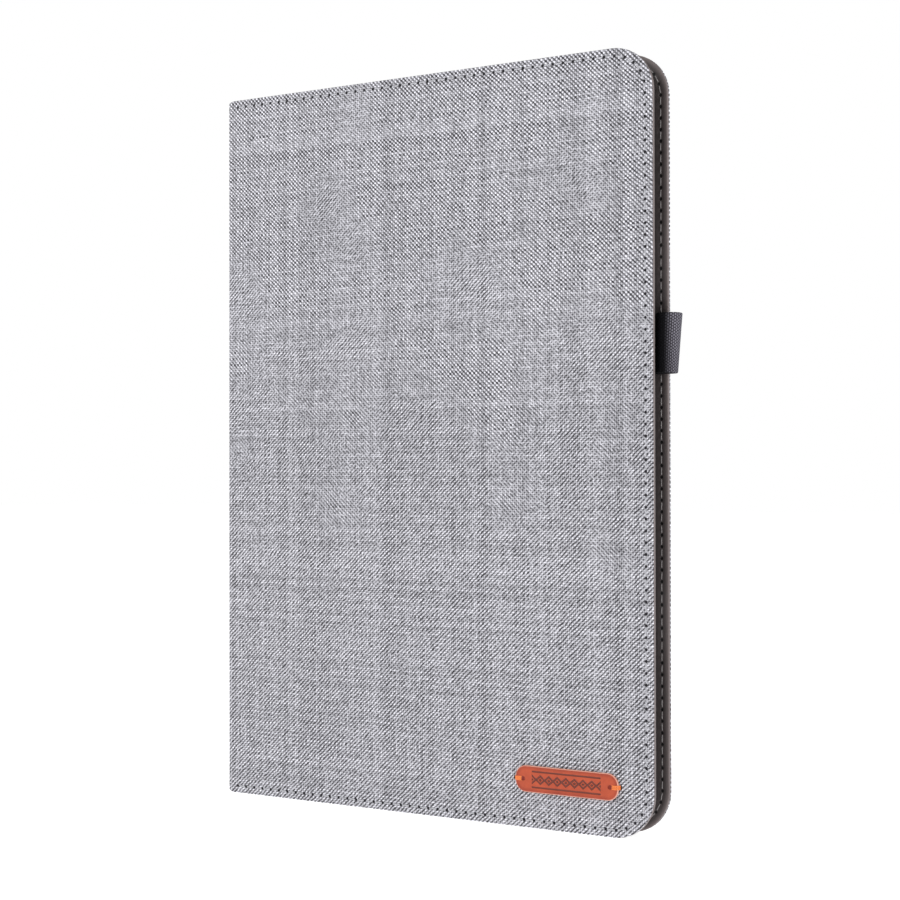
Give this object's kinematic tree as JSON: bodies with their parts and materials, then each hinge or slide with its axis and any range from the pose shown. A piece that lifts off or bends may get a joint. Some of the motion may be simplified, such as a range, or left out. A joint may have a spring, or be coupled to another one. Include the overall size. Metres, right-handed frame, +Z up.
{
  "type": "tablet keyboard case",
  "caption": "Fabric folio case for a tablet: a soft tray holds it, a slim keyboard fills the front cover, half of the rear cover folds out as a stand, and an elastic loop takes a pen.",
  "frame": {"origin": "middle of the bounding box's bottom face: the closed case stands on its short bottom edge, and the label and pen loop count in the box", "axes": "+Z up along the long side, +X from the spine to the opening edge, +Y from the front cover (with the label) through the case to the rear cover"},
  "size_m": [0.1808, 0.0148, 0.256],
  "materials": {
    "cover_fabric": "heathered grey plain weave",
    "cover_board": "dense grey-brown fibre board",
    "lining": "matt brown-black leather-look sheet",
    "thread": "grey sewing thread",
    "label_leather": "red-brown smooth leather, stamped line",
    "tack_thread": "orange bar-tack thread",
    "magnet": "nickel-plated",
    "keyboard_shell": "fine-grained black",
    "keyboard_deck": "dark anodised",
    "keycaps": "smooth black with pale legends",
    "membrane": "printed clear film",
    "dome_silicone": "milky silicone",
    "battery_pouch": "foil pouch",
    "circuit_board": "green solder mask",
    "contacts": "gold-plated",
    "light_lens": "translucent",
    "switch_plastic": "ribbed",
    "touchpad_glass": "satin",
    "tray_rubber": "matt soft polyurethane",
    "elastic": "ribbed woven elastic"
  },
  "bodies": {
    "rear_half": {"rear_cover_fabric": "cover_fabric", "rear_cover_board": "cover_board", "rear_cover_lining": "lining", "rear_cover_stitching": "thread", "tray": "tray_rubber", "tray_keepers": "magnet", "tray_steel_strip": "magnet", "crease_rear_fabric": "cover_fabric", "crease_rear_lining": "lining", "crease_stand_fabric": "cover_fabric", "crease_stand_lining": "lining"},
    "spine": {"spine_fabric": "cover_fabric", "spine_board": "cover_board", "spine_lining": "lining", "spine_stitching": "thread", "crease_front_fabric": "cover_fabric", "crease_front_lining": "lining"},
    "front_cover": {"front_cover_fabric": "cover_fabric", "front_cover_board": "cover_board", "front_cover_lining": "lining", "front_cover_stitching": "thread", "label": "label_leather", "label_tacks": "tack_thread", "closure_magnets": "magnet", "wake_magnet": "magnet", "keyboard_base": "keyboard_shell", "keyboard_deck": "keyboard_deck", "key_membrane": "membrane", "dome_sheet": "dome_silicone", "battery": "battery_pouch", "controller_board": "circuit_board", "charging_contacts": "contacts", "status_lights": "light_lens"},
    "stand": {"stand_fabric": "cover_fabric", "stand_board": "cover_board", "stand_lining": "lining", "stand_stitching": "thread", "stand_magnets": "magnet", "pen_loop": "elastic"},
    "power_switch": {"power_switch": "switch_plastic"},
    "touchpad": {"touchpad": "touchpad_glass"},
    "keys_function": {"keys_function": "keycaps"},
    "keys_number": {"keys_number": "keycaps"},
    "keys_upper": {"keys_upper": "keycaps"},
    "keys_home": {"keys_home": "keycaps"},
    "keys_lower": {"keys_lower": "keycaps"},
    "keys_bottom": {"keys_bottom": "keycaps"},
    "key_backspace": {"key_backspace": "keycaps"},
    "key_tab": {"key_tab": "keycaps"},
    "key_caps_lock": {"key_caps_lock": "keycaps"},
    "key_enter": {"key_enter": "keycaps"},
    "key_shift_left": {"key_shift_left": "keycaps"},
    "key_shift_right": {"key_shift_right": "keycaps"},
    "key_space": {"key_space": "keycaps"}
  },
  "joints": [
    {"name": "spine_fold", "type": "hinge", "parent": "rear_half", "child": "spine", "pos_m": [-0.08915, 0.00615, 0.128], "axis": [0, 0, -1], "range_deg": [0, 90], "deforming": ["crease_rear_fabric", "crease_rear_lining"]},
    {"name": "cover_fold", "type": "hinge", "parent": "spine", "child": "front_cover", "pos_m": [-0.08915, -0.00525, 0.128], "axis": [0, 0, -1], "range_deg": [0, 175], "deforming": ["crease_front_fabric", "crease_front_lining"]},
    {"name": "stand_fold", "type": "hinge", "parent": "rear_half", "child": "stand", "pos_m": [-0.00215, 0.00685, 0.128], "axis": [0, 0, 1], "range_deg": [0, 140], "deforming": ["crease_stand_fabric", "crease_stand_lining"]},
    {"name": "power_switch_slide", "type": "slide", "parent": "front_cover", "child": "power_switch", "axis": [0, 0, 1], "range_m": [0, 0.002]},
    {"name": "touchpad_click", "type": "slide", "parent": "front_cover", "child": "touchpad", "axis": [0, -1, 0], "range_m": [0, 0.0003], "stiffness_N_per_m": 4000, "springref_m": -0.0001},
    {"name": "keys_function_press", "type": "slide", "parent": "front_cover", "child": "keys_function", "axis": [0, -1, 0], "range_m": [0, 0.00075], "stiffness_N_per_m": 600, "springref_m": -0.0003},
    {"name": "keys_number_press", "type": "slide", "parent": "front_cover", "child": "keys_number", "axis": [0, -1, 0], "range_m": [0, 0.00075], "stiffness_N_per_m": 600, "springref_m": -0.0003},
    {"name": "keys_upper_press", "type": "slide", "parent": "front_cover", "child": "keys_upper", "axis": [0, -1, 0], "range_m": [0, 0.00075], "stiffness_N_per_m": 600, "springref_m": -0.0003},
    {"name": "keys_home_press", "type": "slide", "parent": "front_cover", "child": "keys_home", "axis": [0, -1, 0], "range_m": [0, 0.00075], "stiffness_N_per_m": 600, "springref_m": -0.0003},
    {"name": "keys_lower_press", "type": "slide", "parent": "front_cover", "child": "keys_lower", "axis": [0, -1, 0], "range_m": [0, 0.00075], "stiffness_N_per_m": 600, "springref_m": -0.0003},
    {"name": "keys_bottom_press", "type": "slide", "parent": "front_cover", "child": "keys_bottom", "axis": [0, -1, 0], "range_m": [0, 0.00075], "stiffness_N_per_m": 600, "springref_m": -0.0003},
    {"name": "key_backspace_press", "type": "slide", "parent": "front_cover", "child": "key_backspace", "axis": [0, -1, 0], "range_m": [0, 0.00075], "stiffness_N_per_m": 600, "springref_m": -0.0003},
    {"name": "key_tab_press", "type": "slide", "parent": "front_cover", "child": "key_tab", "axis": [0, -1, 0], "range_m": [0, 0.00075], "stiffness_N_per_m": 600, "springref_m": -0.0003},
    {"name": "key_caps_lock_press", "type": "slide", "parent": "front_cover", "child": "key_caps_lock", "axis": [0, -1, 0], "range_m": [0, 0.00075], "stiffness_N_per_m": 600, "springref_m": -0.0003},
    {"name": "key_enter_press", "type": "slide", "parent": "front_cover", "child": "key_enter", "axis": [0, -1, 0], "range_m": [0, 0.00075], "stiffness_N_per_m": 600, "springref_m": -0.0003},
    {"name": "key_shift_left_press", "type": "slide", "parent": "front_cover", "child": "key_shift_left", "axis": [0, -1, 0], "range_m": [0, 0.00075], "stiffness_N_per_m": 600, "springref_m": -0.0003},
    {"name": "key_shift_right_press", "type": "slide", "parent": "front_cover", "child": "key_shift_right", "axis": [0, -1, 0], "range_m": [0, 0.00075], "stiffness_N_per_m": 600, "springref_m": -0.0003},
    {"name": "key_space_press", "type": "slide", "parent": "front_cover", "child": "key_space", "axis": [0, -1, 0], "range_m": [0, 0.00075], "stiffness_N_per_m": 600, "springref_m": -0.0003}
  ]
}
